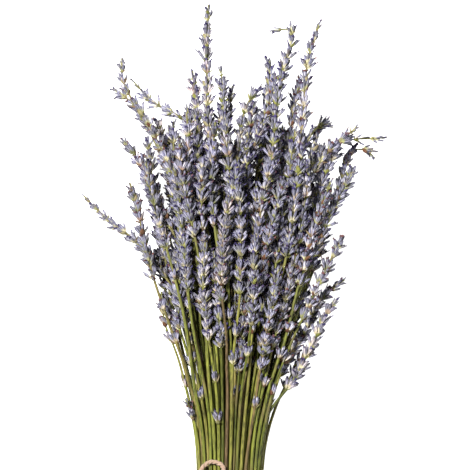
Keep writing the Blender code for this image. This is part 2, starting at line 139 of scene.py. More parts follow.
# Sprigs that stand out of the bunch, each given in millimetres: how near the top it lies
# (-1 underneath to 1 on top), how full its flowers are, the course of its spike from the lowest
# whorl to the highest point as (x, y), and the points past that if its tip bends over.
LEADING_SPRIGS = [
    (0.35, 1.0, [(-12, 119), (-15, 152), (-16, 180), (-15, 199.6)]),
    (0.1, 0.95, [(-20, 119), (-22, 141), (-24, 164)]),
    (0.3, 0.95, [(37, 119), (38, 152), (40, 171), (46, 190)]),
    (0.45, 0.95, [(20, 119), (23, 147), (26, 164), (30, 177), (30, 185)], [(26, 186), (20, 184)]),
    (-0.1, 0.8, [(14, 125), (18, 152), (19, 163), (17, 173)]),
    (-0.2, 0.55, [(-47, 130), (-57, 147), (-63, 159), (-64, 172)]),
    (0.25, 0.8, [(-39, 116), (-47, 132), (-57, 146), (-68, 154)]),
    (-0.45, 0.6, [(-20, 127), (-32, 140), (-45, 147), (-58, 160)]),
    (0.3, 0.9, [(-42, 92), (-50, 108), (-57, 119), (-63, 126)]),
    (0.05, 0.8, [(-39, 50), (-56, 70), (-72, 82), (-85, 95)]),
    (0.3, 0.85, [(42, 111), (51, 121), (59, 127), (66, 133)]),
    (-0.1, 0.5, [(38, 105), (45, 115), (53, 122), (63, 126)], [(70, 127), (77, 127), (85, 128)]),
    (-0.15, 0.7, [(52, 83), (59, 103), (63, 116), (67, 121)], [(72, 121), (78, 116)]),
    (0.35, 0.95, [(47, 70), (56, 92), (62, 103), (66, 111)]),
    (0.5, 0.85, [(43, 42), (49, 53), (54, 63), (59, 72)]),
    (0.1, 0.95, [(32, 9), (40, 21), (49, 38), (61, 48)]),
    (-0.1, 0.5, [(26, -14), (31, -4), (37, 5), (45, 11)]),
    (-0.2, 0.55, [(-35, 12), (-39, 21), (-41, 31), (-42, 41)]),
    (0.2, 0.65, [(-23, -32), (-25, -26), (-28, -19)]),
    (0.35, 0.8, [(2, 122), (4, 138), (8, 148), (14, 155)]),
    (-0.3, 0.7, [(-6, 125), (-6, 137), (-2, 145)]),
    (-0.4, 0.6, [(35, 114), (40, 125), (44, 132)], [(49, 135), (55, 134)]),
    (0.2, 0.9, [(-35, 104), (-35, 120), (-35, 136)]),
    (-0.3, 0.6, [(-25, 110), (-27, 122), (-29, 134)]),
    (0.2, 0.85, [(-50, 64), (-53, 78), (-56, 92), (-59, 102)]),
    (0.2, 0.95, [(6, 112), (13, 130), (19, 148), (22, 162)]),
    (0.1, 0.95, [(27, 112), (30, 130), (33, 148), (36, 160)]),
    (0.25, 0.95, [(-8, 118), (-9, 136), (-8, 152), (-9, 166)]),
    (0.35, 0.95, [(34, 2), (41, 15), (48, 28), (56, 38)]),
]

# A stem's surface: four sides with rounded corners, turning a little up the stem
STEM_SIDES = 8
STEM_STEP = 0.004
STEM_SQUARE = 0.09
STEM_TIP_RADIUS = 0.00048
STEM_TURN_PER_METRE = 14.0
STEM_THICKENS_OVER = 0.08
AXIS_STEP = 0.001

# Where the whorls are: closer and smaller towards the tip
WHORL_PITCHES = (0.0042, 0.0065)
PITCH_JITTER = (0.74, 1.28)
THIN_PITCH_SHARE = 0.45
LOWEST_WHORL_INSIDE = 0.0015
GROWN_BELOW_TIP = 0.19
LONG_SPIKE = 0.075
LONG_GROWN_BELOW_TIP = 0.33
YOUNGEST = 0.12
TIP_CLUSTER = 0.0045
TIP_CLUSTER_CLEAR = 1.3 * TIP_CLUSTER
TIP_CLUSTER_SIZE = 0.1
LONE_WHORL_FOOT = 0.003

# What a whorl is made of. Angles are in degrees off the stem.
CALYX_LENGTH = 0.0067
CALYX_RADIUS = 0.00084
CALYX_COUNTS = (4.0, 13.5)
CALYX_FLATNESS = 0.94
LENGTH_JITTER = (0.74, 1.1)
RADIUS_JITTER = (0.82, 1.15)
OUTER_TILTS = (18, 52)
INNER_TILTS = (4, 20)
INNER_LIFT = 0.0012
LONE_TILT_SHARE = 0.62
LONE_SCATTER_SHARE = 0.4
ANGLE_JITTER = 0.35
SCATTER_ALONG = 0.0007
SPARSE_CHANCE = 0.14
SPARSE_SHARE = 0.55
YOUNG_SIZE = 0.62
THIN_SIZE = 0.72
YOUNG_TONE = 0.4
CLOSED_CHANCE = 0.55
CALYX_FOOT_SHARE = 0.55
CALYX_RIBS = 5
BRACT_LENGTH = 0.005
BRACT_VEINS = 14
BRACT_RADIUS = 0.0016
BRACT_TILTS = (36, 66)
BRACT_SIZES = (0.5, 1.15)
BRACT_LIFT = -0.0009
BRACT_FOOT_SHARE = 0.6
PETAL_CHANCE = 0.34
PETAL_FOOT_SHARE = 0.8
PETAL_SIZE = (1.0, 1.1, 0.42)
PETAL_SPRIG_SHARE = 0.65
FLOOR_SOFTNESS = 0.0014
LEAST_HEIGHT = 0.0001

# The twine's surface
STRANDS = 3
STRAND_TURN = 0.0078
TWINE_SIDES = 21
TWINE_STEP = 0.0006
UNEVENNESS = 0.05
UNEVEN_LENGTH = 0.0031
END_SHARE = 0.72
END_REACH = 0.0012
FRAY_SWELL = 0.25
FRAY_REACH = 0.002
FRAY_FIBRES = 26
FIBRE_RADIUS = 0.00004
FIBRE_RINGS = 5
FIBRE_SIDES = 3
FIBRES_PER_METRE = 900
FIBRE_LENGTHS = (0.0012, 0.003)
LOOSE_FIBRE_LENGTHS = (0.0008, 0.0018)
FIBRE_REACHES = (0.0003, 0.001)
FIBRE_LOWEST = 0.0003
KNOT_TWINE_SHARE = 0.92

# The view, straight down
VIEW_CENTRE = (-0.0005, 0.073, 0.048)
VIEW_WIDTH = 0.26
LENS_MM = 150.0
SENSOR_MM = 36.0

# The stage
FLOOR_REACH = 12.0
FLOOR_HEIGHT = -0.0004
FLOOR_COLOUR = (0.9, 0.9, 0.9, 1.0)
FLOOR_ROUGHNESS = 0.9
SKY_STRENGTH = 0.06
LAMP_TARGET_HEIGHT = 0.03
BACKDROP_POWER = 3.6


@dataclass
class Sprig:
    """One sprig's own measures, and its course through the bunch."""

    slot: tuple
    cut_y: float
    tip_y: float
    spike: float
    fullness: float
    course: list
    beyond: list
    lone_whorls: list
    sway: tuple
    depth: float = 0.0
    solid: bool = False


# ---- the shape of the bunch ----


def part_way(low, high, share):
    return low + (high - low) * share


def ramp(value, ease):
    """0 below zero and value above it, with a smooth bend between."""
    return ease * np.log1p(np.exp(value / ease))


def half_width(y):
    flare = FLARE_SIDE * ramp(y - FLARE_Y, FLARE_EASE)
    return TIE_HALF_WIDTH + flare + SPLAY_SIDE * ramp(SPLAY_Y - y, SPLAY_EASE)


def half_height(y):
    flare = FLARE_UP * ramp(y - FLARE_Y, FLARE_EASE)
    return TIE_HALF_HEIGHT + flare + SPLAY_UP * ramp(SPLAY_Y - y, SPLAY_EASE)


def axis_x(y):
    return AXIS_X + AXIS_LEAN * (y - TIE_Y)


def axis_z(y):
    return AXIS_Z + AXIS_RISE * (y - CUT_END_Y)


def place_in_bunch(slot, y):
    """Where the stem of that slot is at height y. Slots are points of a unit disc."""
    turn = TWIST_PER_METRE * np.minimum(y - TIE_Y, 0.0)
    u = slot[0] * np.cos(turn) - slot[1] * np.sin(turn)
    v = slot[0] * np.sin(turn) + slot[1] * np.cos(turn)
    return axis_x(y) + u * half_width(y), axis_z(y) + v * half_height(y)


def packed_slots():
    """The stems' places in the tie: a sunflower spiral, with the stems then pushed apart."""
    tie = np.array([TIE_HALF_WIDTH, TIE_HALF_HEIGHT])[:, None]
    room = tie - STEM_RADIUS
    index = np.arange(SPRIG_COUNT)
    turn = index * math.pi * (3 - math.sqrt(5))
    place = room * np.sqrt((index + 0.5) / SPRIG_COUNT) * (np.cos(turn), np.sin(turn))
    apart = 2 * STEM_RADIUS + SOLID_GAP
    for _ in range(PACK_STEPS):
        gap = place[:, :, None] - place[:, None, :]
        distance = np.hypot(*gap) + np.eye(SPRIG_COUNT)
        push = PACK_PUSH * np.clip(apart - distance, 0, None) / distance
        place = place + (push * gap).sum(axis=2)
        place = place / np.maximum(np.hypot(*(place / room)), 1.0)
    return list(zip(*(place / tie)))


def take_slot(slots, first_point, depth):
    """The free slot from which a stem reaches that point most directly."""
    x, y = first_point
    u = (x - axis_x(y)) / half_width(y)
    best = min(slots, key=lambda s: (s[0] - u) ** 2 + (s[1] - depth) ** 2)
    slots.remove(best)
    return best


def lone_whorls(rng, chance, spike, tip_y):
    """How far below the tip a sprig has single whorls, under its spike: none to two."""
    found = []
    below_tip = spike
    for number in range(2):
        below_tip += rng.uniform(*LONE_WHORL_GAPS)
        wanted = rng.random() < chance / (number + 1)
        if wanted and tip_y - below_tip > LOWEST_WHORL_Y:
            found.append(below_tip)
    return found


def make_sprigs():
    """Every sprig of the bunch: the leading ones first, then the ones that fill it."""
    rng = random.Random(SEED)
    slots = packed_slots()
    sprigs = []
    for depth, fullness, *paths in LEADING_SPRIGS:
        course, beyond = ([(x * MM, y * MM) for x, y in path] for path in (paths + [[]])[:2])
        line = course + beyond
        spike = sum(math.dist(a, b) for a, b in zip(line, line[1:]))
        if fullness > THIN_FULLNESS:
            spike += LEADING_SPIKE_BELOW
        slot = take_slot(slots, course[0], depth)
        lone = lone_whorls(rng, 1.0, spike, course[-1][1])
        sway = (rng.uniform(0, 2 * math.pi), rng.uniform(0, 2 * math.pi))
        cut_y = CUT_END_Y + rng.uniform(0, CUT_END_SPREAD) * (len(sprigs) > 0)
        sprigs.append(
            Sprig(slot, cut_y, course[-1][1], spike, fullness, course, beyond, lone, sway, depth, True)
        )
    for slot in slots:
        out = math.hypot(*slot)
        tip_y = TIP_DOME_Y - TIP_DOME_DROP * out**2 - TIP_SCATTER * rng.random()
        spike = rng.uniform(*SPIKE_LENGTHS)
        lone = lone_whorls(rng, LONE_WHORL_CHANCE, spike, tip_y)
        sway = (rng.uniform(0, 2 * math.pi), rng.uniform(0, 2 * math.pi))
        cut_y = CUT_END_Y + rng.uniform(0, CUT_END_SPREAD)
        fullness = rng.uniform(*FILLING_FULLNESS)
        sprigs.append(Sprig(slot, cut_y, tip_y, spike, fullness, [], [], lone, sway))
    for sprig in sprigs[len(LEADING_SPRIGS) :]:
        sprig.solid = abs(sprig.slot[1]) > OUTER_DEPTH
    within = [s for s in sprigs if not s.solid]
    wanted = SOLID_COUNT - (len(sprigs) - len(within))
    for k in range(wanted):
        within[round((k + 0.5) * len(within) / wanted - 0.5)].solid = True
    return sprigs


# ---- the course of each sprig ----


def smooth_through(knots_y, knots_x, y):
    """A cubic curve through the knots, carried on straight past both ends."""
    knots_y = np.array(knots_y)
    knots_x = np.array(knots_x)
    slopes = np.gradient(knots_x, knots_y)
    inside = np.clip(y, knots_y[0], knots_y[-1])
    k = np.clip(np.searchsorted(knots_y, inside) - 1, 0, len(knots_y) - 2)
    width = knots_y[k + 1] - knots_y[k]
    t = (inside - knots_y[k]) / width
    curve = (
        knots_x[k] * (1 + 2 * t) * (1 - t) ** 2
        + knots_x[k + 1] * t * t * (3 - 2 * t)
        + slopes[k] * width * t * (1 - t) ** 2
        + slopes[k + 1] * width * t * t * (t - 1)
    )
    past = np.where(y > knots_y[-1], slopes[-1], slopes[0])
    return curve + past * (y - inside)


def distances(points):
    """The distance along a path at each of its points."""
    steps = np.linalg.norm(np.diff(points, axis=0), axis=1)
    return np.concatenate([[0], np.cumsum(steps)])


def read_path(points, along, wanted):
    """The points at those distances on a smooth curve through a path."""
    return np.stack([smooth_through(along, column, wanted) for column in points.T], axis=1)


def planned_course(sprig, y):
    """x and z of a sprig at the heights y, before the sprigs settle."""
    x, z = place_in_bunch(sprig.slot, y)
    loose = np.clip((y - TIE_Y) / LOOSE_ABOVE, 0, 1) + np.clip((TIE_Y - y) / LOOSE_BELOW, 0, 1)
    x = x + WAVER * loose * np.sin(WAVER_RATES[0] * y + sprig.sway[0])
    z = z + WAVER * loose * np.sin(WAVER_RATES[1] * y + sprig.sway[1])
    if sprig.course:
        course_x, course_y = zip(*sprig.course)
        first_y = course_y[0]
        free = (FLARE_Y if first_y > 0 else FREE_LOW_Y) + np.array([-FREE_RUN, 0])
        start_x, start_z = place_in_bunch(sprig.slot, free)
        _, first_z = place_in_bunch((0, sprig.depth), first_y)
        knots_y = [*free, first_y, first_y + FREE_TOP_RUN]
        knots_z = [*start_z, first_z, first_z + FREE_TOP_RISE]
        x = np.where(y > free[1], smooth_through([*free, *course_y], [*start_x, *course_x], y), x)
        z = np.where(y > free[1], smooth_through(knots_y, knots_z, y), z)
    return x, z


def spike_radius(below_tip, sprig):
    """The flower spike's radius at a distance below its tip."""
    share = np.clip(part_way(SPIKE_TIP_SHARE, 1, below_tip / SPIKE_TAPER), 0, 1)
    return np.maximum(SPIKE_RADIUS * sprig.fullness * share, STEM_TOP_RADIUS)


def settling_radius(sprig, levels, x, z):
    """The room that a sprig on that course takes up at each level."""
    along = distances(np.column_stack([levels, x, z]))
    past_top = sum(math.dist(a, b) for a, b in zip(sprig.course[-1:] + sprig.beyond, sprig.beyond))
    below_tip = np.interp(sprig.tip_y, levels, along) - along + past_top
    radius = np.where(below_tip < sprig.spike, spike_radius(below_tip, sprig), STEM_RADIUS)
    for lone in sprig.lone_whorls:
        beside = np.abs(below_tip - lone) < LONE_WHORL_HALF + 0.5 * LEVEL_STEP
        radius = np.where(beside, LONE_WHORL_RADIUS, radius)
    return radius


def settle(sprigs):
    """Moves the sprigs apart, and up off the table, until they lie clear of each other."""
    levels = np.arange(CUT_END_Y, TOP_Y + LEVEL_STEP / 2, LEVEL_STEP)
    plans = [planned_course(s, levels) for s in sprigs]
    start = np.array(plans).transpose(1, 2, 0)
    room = [settling_radius(s, levels, *plan) for s, plan in zip(sprigs, plans)]
    radius = np.array(room).T
    soft = np.maximum(SOFT_SHARE * radius, np.minimum(radius, STEM_RADIUS))
    cut_y = np.array([s.cut_y for s in sprigs])
    tip_y = np.array([s.tip_y for s in sprigs])
    there = (levels[:, None] > cut_y - LEVEL_STEP) & (levels[:, None] < tip_y + LEVEL_STEP)
    together = there[:, :, None] & there[:, None, :] & ~np.eye(len(sprigs), dtype=bool)
    solid = np.array([s.solid for s in sprigs])
    solids = solid[:, None] & solid[None, :]
    held = np.abs(levels - TIE_Y) < HELD_HALF
    place = start
    for step in range(SETTLE_STEPS):
        late = step > SETTLE_LATE * SETTLE_STEPS
        lean = np.sqrt(1 + (np.gradient(place, LEVEL_STEP, axis=1) ** 2).sum(axis=0))
        full, thin = ((r * lean)[:, :, None] + (r * lean)[:, None, :] for r in (radius, soft))
        reach = np.where(solids, full + SOLID_GAP, thin + SOFT_GAP)
        gap = place[:, :, :, None] - place[:, :, None, :]
        distance = np.sqrt((gap**2).sum(axis=0)) + 1e-9
        push = SETTLE_PUSH * np.where(together, np.clip(reach - distance, 0, None), 0) / distance
        place = place + np.clip((push * gap).sum(axis=3), -MM, MM)
        off = (place - start) * (1 - (0.0 if late else SETTLE_PULL))
        even = EVEN_LATE if late else EVEN_EARLY
        off[:, 1:-1] += even * (0.5 * (off[:, :-2] + off[:, 2:]) - off[:, 1:-1])
        off[:, held] = 0
        place = start + off
        place[1] = np.maximum(place[1], radius * lean)
    return levels, place


def centrelines(sprigs):
    """Each sprig's centreline after settling, from its cut end to its tip."""
    levels, (x, z) = settle(sprigs)
    lines = []
    for k, sprig in enumerate(sprigs):
        inner = levels[(levels > sprig.cut_y + MM) & (levels < sprig.tip_y - MM)]
        y = np.concatenate([[sprig.cut_y], inner, [sprig.tip_y]])
        line = np.stack([np.interp(y, levels, x[:, k]), y, np.interp(y, levels, z[:, k])], axis=1)
        shift = line[-1, 0] - sprig.course[-1][0] if sprig.beyond else 0.0
        for past_x, past_y in sprig.beyond:
            line = np.vstack([line, [past_x + shift, past_y, line[-1, 2]]])
        lines.append(line)
    return lines


# ---- where the twine runs ----


def height_on_stems(x, y, lift):
    """How high something lies that much off the stems, or off the wrap's turns where they are."""
    over_wrap = 1 / (1 + ((y - TIE_Y) / WRAP_REACH) ** 8)
    off = lift + (2 * TWINE_RADIUS + TWINE_GAP) * over_wrap
    share = np.clip((x - axis_x(y)) / (half_width(y) + off), -0.98, 0.98)
    return axis_z(y) + (half_height(y) + off) * np.sqrt(1 - share**2)


def wrap_points():
    """Turns round the stems, side by side, from the top of the bunch round to the top again."""
    out = TWINE_GAP + TWINE_RADIUS
    turn = np.arange(WRAP_TURNS * WRAP_POINTS_PER_TURN + 1) / WRAP_POINTS_PER_TURN
    y = TIE_Y + WRAP_PITCH * (turn - WRAP_TURNS / 2)
    angle = 2 * math.pi * turn + math.pi / 2
    x = axis_x(y) + (half_width(y) + out) * np.cos(angle)
    return np.column_stack([x, y, axis_z(y) + (half_height(y) + out) * np.sin(angle)])


def evenly(points, step, extra=0):
    """The distances and the points of a smooth curve through a path, read at about that step."""
    along = distances(points)
    wanted = np.linspace(0, along[-1], max(4, round(along[-1] / step) + extra))
    return wanted, read_path(points, along, wanted)


def lay_on_stems(route, ends_up):
    """Turns a route in x and y into points that lie on the stems, raised where it joins the knot."""
    _, flat = evenly(np.array(route) * MM, ROUTE_SPACING, extra=1)
    height = height_on_stems(flat[:, 0], flat[:, 1], TWINE_RADIUS + 2 * TWINE_GAP)
    along = np.linspace(0, 1, len(flat))
    near_start = np.exp(-((along / KNOT_JOIN_SHARE) ** 2))
    near_end = np.exp(-(((1 - along) / KNOT_JOIN_SHARE) ** 2)) * ends_up
    joined = axis_z(TIE_Y) + TIE_HALF_HEIGHT + 2 * TWINE_RADIUS + KNOT_SIZE[2] / 2
    height = height + (near_start + near_end) * np.clip(joined - height, 0, None)
    return np.column_stack([flat, height])


# Routes of the bow in millimetres, seen from above. A loop leaves the knot and comes back to it.
BOW_ROUTES = {
    "twine_loop_left": ([
        (-6.2, -61.8), (-5.7, -58.6), (-8.2, -55.0), (-12.7, -53.5), (-17.2, -55.1),
        (-19.6, -59.4), (-18.8, -64.2), (-15.4, -67.0), (-11.4, -67.6),
    ], True),
    "twine_loop_right": ([
        (1.3, -65.8), (5.0, -64.4), (9.6, -65.0), (13.0, -68.4), (12.6, -73.2), (9.0, -76.0),
        (4.8, -75.0), (1.6, -71.0),
    ], True),
    "twine_tail_left": ([
        (-7.6, -72.6), (-9.8, -77.0), (-13.0, -83.0), (-14.4, -92.0), (-13.0, -102.0),
        (-13.6, -112.0), (-16.2, -120.0),
    ], False),
    "twine_tail_right": ([
        (-3.0, -72.8), (-2.6, -78.0), (-0.2, -84.0), (0.8, -93.0), (-0.8, -103.0),
        (1.0, -112.0), (3.8, -118.0),
    ], False),
}


# ---- templates of small parts: x outward, y across, z along, each 1 long and 1 in radius ----


def even_angles(count):
    return np.arange(count) * 2 * math.pi / count


def between(angle, first, second):
    """The direction at that angle from first towards second."""
    return np.cos(angle)[..., None] * first + np.sin(angle)[..., None] * second


def turned(profile, sides, shape):
    """A closed turned form. profile is (z, radius) from pole to pole, and shape(x, y, z) bends it.

    Gives its points, and (faces, corners) for its quads and for its triangles.
    """
    height, radius = np.array(profile, dtype=float).T
    angle = even_angles(sides)
    x = np.outer(radius[1:-1], np.cos(angle)).ravel()
    y = np.outer(radius[1:-1], np.sin(angle)).ravel()
    z = np.concatenate([height[:1], np.repeat(height[1:-1], sides), height[-1:]])
    points = np.stack(shape(np.pad(x, 1), np.pad(y, 1), z), axis=1)
    quads, foot, head = tube_faces(len(profile) - 2, sides)
    foot_corners = tube_corners(height[:2], sides)[:, [0, 2, 3]]
    head_corners = tube_corners(height[-2:], sides)[:, [3, 0, 1]]
    closing = (np.concatenate([foot, head]), np.concatenate([foot_corners, head_corners]))
    return points, ((quads, tube_corners(height[1:-1], sides)), closing)


def calyx_shape(bend, teeth):
    """Bends a calyx inward along its length, and raises every second corner of its mouth."""

    def shape(x, y, z):
        angle = np.arctan2(y, x)
        crown = teeth * np.cos(3 * angle) * np.clip((z - 0.8) / 0.2, 0, 1)
        ribbed = 1 + 0.06 * np.cos(3 * angle) * np.sin(math.pi * np.clip(z, 0, 1))
        return x * ribbed - bend * z * z, y * ribbed, z + crown

    return shape


def bract_shape(x, y, z):
    """Flattens a bract and cups it round the calyces."""
    return 0.16 * x - 0.55 * y * y * (1 - 0.4 * z) - 0.5 * z * z, y, z


def petal_shape(x, y, z):
    """A shrivelled petal: flat, waved and curled out."""
    return 0.28 * x + 0.45 * np.sin(5 * y) * z + 0.5 * z * z, y * (1 + 0.25 * np.cos(9 * z)), z


def make_templates():
    closed = [(0, 0), (0.04, 0.36), (0.28, 0.74), (0.6, 1.0), (0.86, 0.8), (0.98, 0.36), (1.02, 0)]
    open_mouth = [(0, 0), (0.04, 0.34), (0.28, 0.68), (0.66, 0.98), (0.97, 0.9), (0.86, 0.6), (0.7, 0)]
    bract = [(0, 0), (0.05, 0.4), (0.3, 0.96), (0.6, 0.84), (0.9, 0.24), (1.0, 0)]
    petal = [(0, 0), (0.08, 0.4), (0.6, 1.0), (0.92, 0.7), (1.0, 0)]
    return {
        "closed": turned(closed, 6, calyx_shape(0.55, 0.0)),
        "open": turned(open_mouth, 6, calyx_shape(0.35, 0.05)),
        "bract": turned(bract, 6, bract_shape),
        "petal": turned(petal, 5, petal_shape),
    }


# ---- gathering copies into one mesh ----

STEM, CUT, CALYX, BRACT, PETAL = range(5)


class Gathered:
    """Points, faces and their facts, gathered from many copies and made into one mesh."""

    def __init__(self):
        self.points = []
        self.tones = []
        self.kept = {4: [], 3: []}
        self.count = 0

    def keep(self, faces, corners, slot):
        """Faces, the surface coordinates of their corners, and the slot of their material."""
        self.kept[faces.shape[1]].append((faces, corners.reshape(-1, 2), np.full(len(faces), slot)))

    def add(self, points, tones, slot, faces):
        """points is (copies, n, 3) and tones (copies, 3); faces are one copy's own."""
        copies, size = points.shape[:2]
        self.points.append(points.reshape(-1, 3))
        self.tones.append(np.repeat(tones, size, axis=0))
        starts = self.count + np.arange(copies) * size
        for own, corners in faces:
            rows = (own + starts[:, None, None]).reshape(-1, own.shape[1])
            self.keep(rows, np.tile(corners, (copies, 1, 1)), slot)
        self.count += copies * size

    def add_copies(self, template, axes, size, tones, slot):
        """Copies of a template, none of them below the table."""
        points, faces = template
        self.add(above_table(placed(points, axes, size)), tones, slot, faces)

    def add_tube(self, line, skin, along, tone, foot_slot=0, head_at=0.0):
        """A closed tube: rings of skin round a line, and fans from its end rings to the line's ends."""
        rings, sides = skin.shape[:2]
        whole = np.concatenate([line[:1], skin.reshape(-1, 3), line[-1:]])
        quads, foot, head = tube_faces(rings, sides)
        flat = np.zeros((sides, 3, 2))
        self.keep(foot + self.count, flat, foot_slot)
        faces = ((quads, tube_corners(along, sides)), (head, flat + (0, head_at)))
        self.add(whole[None], np.array([tone]), 0, faces)

    def make(self, name, materials):
        """The object, with its material slots, its surface coordinates and its tones."""
        quads, quad_corners, quad_slots = map(np.concatenate, zip(*self.kept[4]))
        triangles, triangle_corners, triangle_slots = map(np.concatenate, zip(*self.kept[3]))
        points = np.concatenate(self.points)
        starts = np.concatenate([np.arange(len(quads)) * 4, quads.size + np.arange(len(triangles)) * 3])
        mesh = bpy.data.meshes.new(name)
        mesh.vertices.add(len(points))
        store(mesh.vertices, "co", points)
        mesh.loops.add(quads.size + triangles.size)
        store(mesh.loops, "vertex_index", np.concatenate([quads.ravel(), triangles.ravel()]), np.int32)
        mesh.polygons.add(len(starts))
        store(mesh.polygons, "loop_start", starts, np.int32)
        store(mesh.polygons, "material_index", np.concatenate([quad_slots, triangle_slots]), np.int32)
        store(mesh.polygons, "use_smooth", np.ones(len(starts)), bool)
        layer = mesh.uv_layers.new(name="Surface")
        store(layer.data, "uv", np.concatenate([quad_corners, triangle_corners]))
        tone = mesh.attributes.new("tone", "FLOAT_COLOR", "POINT")
        store(tone.data, "color", np.column_stack([np.concatenate(self.tones), np.ones(len(points))]))
        mesh.update(calc_edges=True)
        for material in materials:
            mesh.materials.append(material)
        return add_to_scene(name, mesh, (0, 0, 0))


def add_to_scene(name, data, place):
    made = bpy.data.objects.new(name, data)
    made.location = place
    bpy.context.scene.collection.objects.link(made)
    return made


def store(rows, name, values, kind=np.float32):
    rows.foreach_set(name, values.astype(kind).ravel())


def tube_faces(rings, sides):
    """The quads of an open tube, and the fans that close its ends round a point before and after."""
    k = np.arange(sides)
    start = 1 + sides * np.arange(rings)[:, None]
    here = start + k
    after = start + (k + 1) % sides
    quads = np.stack([here[:-1], after[:-1], after[1:], here[1:]], axis=-1).reshape(-1, 4)
    foot = np.stack([0 * k, after[0], here[0]], axis=1)
    head = np.stack([0 * k + 1 + rings * sides, here[-1], after[-1]], axis=1)
    return quads, foot, head


def tube_corners(along, sides):
    """Surface coordinates of a tube's quads: round it in u, and the distance along it in v."""
    turn = (np.arange(sides)[:, None] + (0, 1, 1, 0)) / sides
    level = along[np.arange(len(along) - 1)[:, None] + (0, 0, 1, 1)][:, None]
    return np.stack(np.broadcast_arrays(turn, level), axis=-1).reshape(-1, 4, 2)


# ---- a sprig ----


def smooth_line(line):
    """A centreline as a function of the distance below the tip: its points and its own axes."""
    along = distances(line)
    length = along[-1]

    def read(below_tip):
        wanted = length - np.clip(below_tip, 0, length)
        points = read_path(line, along, wanted)
        ahead = np.clip(wanted + AXIS_STEP, 0, length)
        behind = np.clip(wanted - AXIS_STEP, 0, length)
        run = read_path(line, along, ahead) - read_path(line, along, behind)
        forward = run / np.linalg.norm(run, axis=1, keepdims=True)
        side = np.cross(forward, (0.0, 0.0, 1.0))
        side /= np.linalg.norm(side, axis=1, keepdims=True)
        return points, forward, side, np.cross(side, forward)

    return length, read


def stem_radius(below_tip, spike):
    """Thin inside the spike, and thicker towards the cut end."""
    inside = part_way(STEM_TIP_RADIUS, STEM_TOP_RADIUS, np.clip(below_tip / spike, 0, 1))
    lower = np.clip((below_tip - spike) / STEM_THICKENS_OVER, 0, 1)
    return np.where(below_tip < spike, inside, part_way(STEM_TOP_RADIUS, STEM_RADIUS, lower))


def add_stem(mesh, sprig, length, read, tone):
    rings = int(length / STEM_STEP) + 1
    below = np.linspace(length, 0, rings)
    points, _, side, up = read(below)
    angle = even_angles(STEM_SIDES)
    turn = angle + (below * STEM_TURN_PER_METRE + sprig.sway[0])[:, None]
    square = 1 + STEM_SQUARE * np.cos(4 * angle)
    radius = stem_radius(below, sprig.spike)[:, None] * square
    skin = points[:, None] + radius[..., None] * between(turn, side[:, None], up[:, None])
    mesh.add_tube(points, skin, length - below, tone, CUT, length)


def whorl_places(sprig, rng):
    """How far below the tip each whorl is, from the lowest up, with its size from 0 to 1."""
    grown = (LONG_GROWN_BELOW_TIP if sprig.spike > LONG_SPIKE else GROWN_BELOW_TIP) * sprig.spike
    places = [(lone + LONE_WHORL_FOOT, 1.0) for lone in sprig.lone_whorls[::-1]]
    below = sprig.spike - LOWEST_WHORL_INSIDE
    while below > TIP_CLUSTER_CLEAR:
        size = min(1.0, YOUNGEST + below / grown)
        places.append((below, size))
        pitch = part_way(*WHORL_PITCHES, size)
        below -= pitch * rng.uniform(*PITCH_JITTER) * (1 + THIN_PITCH_SHARE * (1 - sprig.fullness))
    places.append((TIP_CLUSTER, TIP_CLUSTER_SIZE))
    return places


def on_stem(read, below, angle, tilt, off, lift):
    """Base points and axes of parts that leave the stem at an angle round it and a tilt off it."""
    points, forward, side, up = read(below)
    radial = between(angle, side, up)
    base = points + off[:, None] * radial + lift[:, None] * forward
    outward = between(tilt, radial, -forward)
    return base, outward, np.cross(forward, radial), between(tilt, forward, radial)


def placed(points, axes, size):
    """Copies of a template's points, their x, y and z scaled by size, on those bases and axes."""
    base, *directions = axes
    local = points * size[:, None, :]
    return base[:, None] + local @ np.stack(directions, axis=1)


def above_table(points):
    """Presses what would be below the table onto it, without making anything quite flat."""
    low = np.minimum(points[..., 2] - FLOOR_SOFTNESS, 0) / FLOOR_SOFTNESS
    pressed = part_way(LEAST_HEIGHT, FLOOR_SOFTNESS, np.exp(low))
    points[..., 2] = np.where(points[..., 2] < FLOOR_SOFTNESS, pressed, points[..., 2])
    return points


